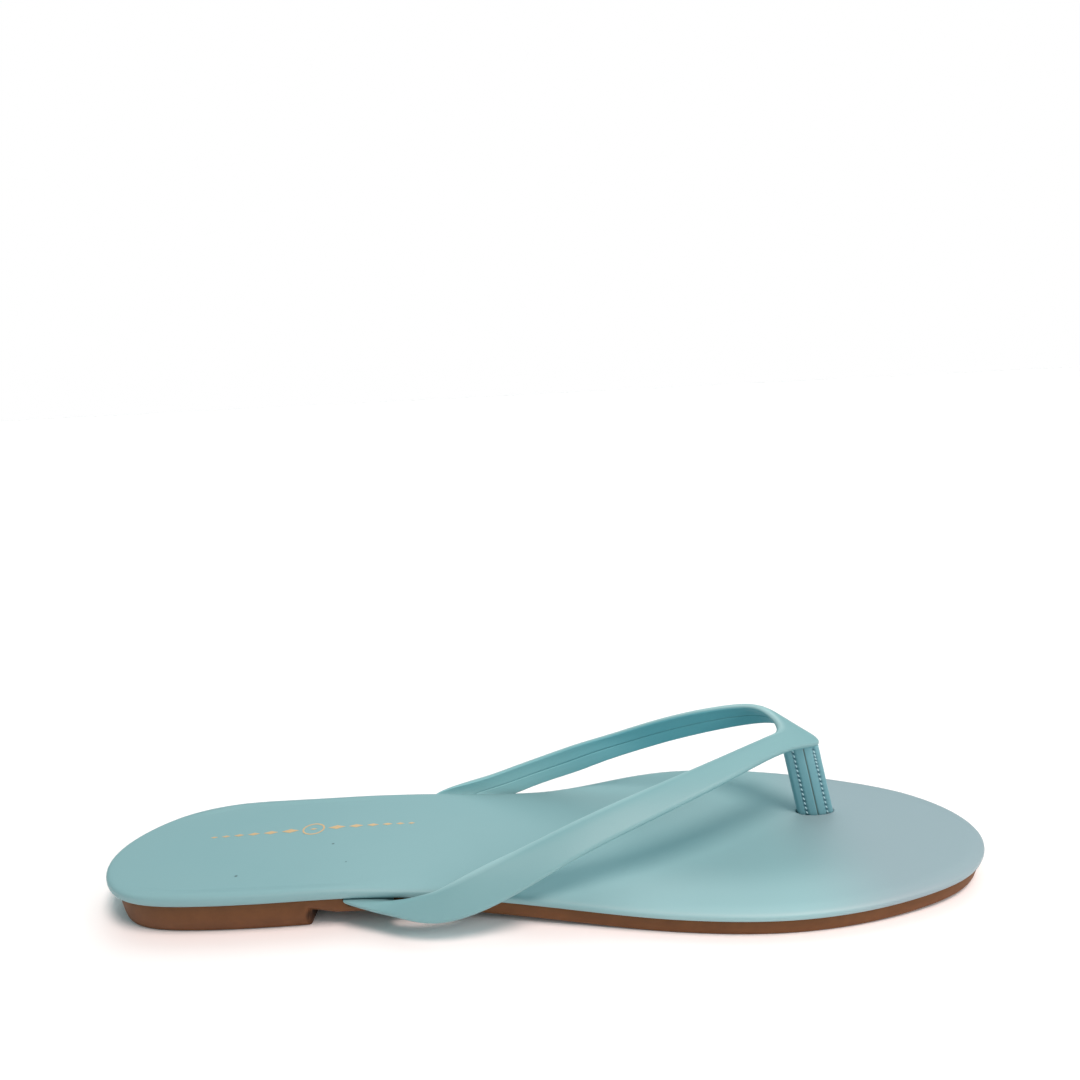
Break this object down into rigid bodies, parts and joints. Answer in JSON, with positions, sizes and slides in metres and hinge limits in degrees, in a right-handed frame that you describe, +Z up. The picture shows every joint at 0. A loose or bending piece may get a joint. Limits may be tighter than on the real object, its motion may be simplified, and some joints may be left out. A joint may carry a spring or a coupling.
{
  "type": "flat thong sandal",
  "caption": "Flat thong sandal for a right foot: padded leatherette footbed with rolled edges, V strap on a stitched toe post, thin moulded rubber outsole with a low heel.",
  "frame": {"origin": "on the floor, at the middle of the shoe's length and width", "axes": "+X from heel to toe, +Y towards the inner (big toe) side, +Z up"},
  "size_m": [0.256, 0.0871, 0.0408],
  "materials": {
    "outsole_rubber": "matte moulded rubber with faint speckle",
    "footbed_leatherette": "satin leatherette over thin padding, fine grain",
    "strap_leatherette": "satin leatherette, folded to a centre seam underneath",
    "post_leatherette": "satin leatherette with two rows of stitches"
  },
  "bodies": {
    "root": {"outsole": "outsole_rubber", "footbed": "footbed_leatherette", "upper": "strap_leatherette", "toe_post": "post_leatherette"}
  },
  "joints": []
}
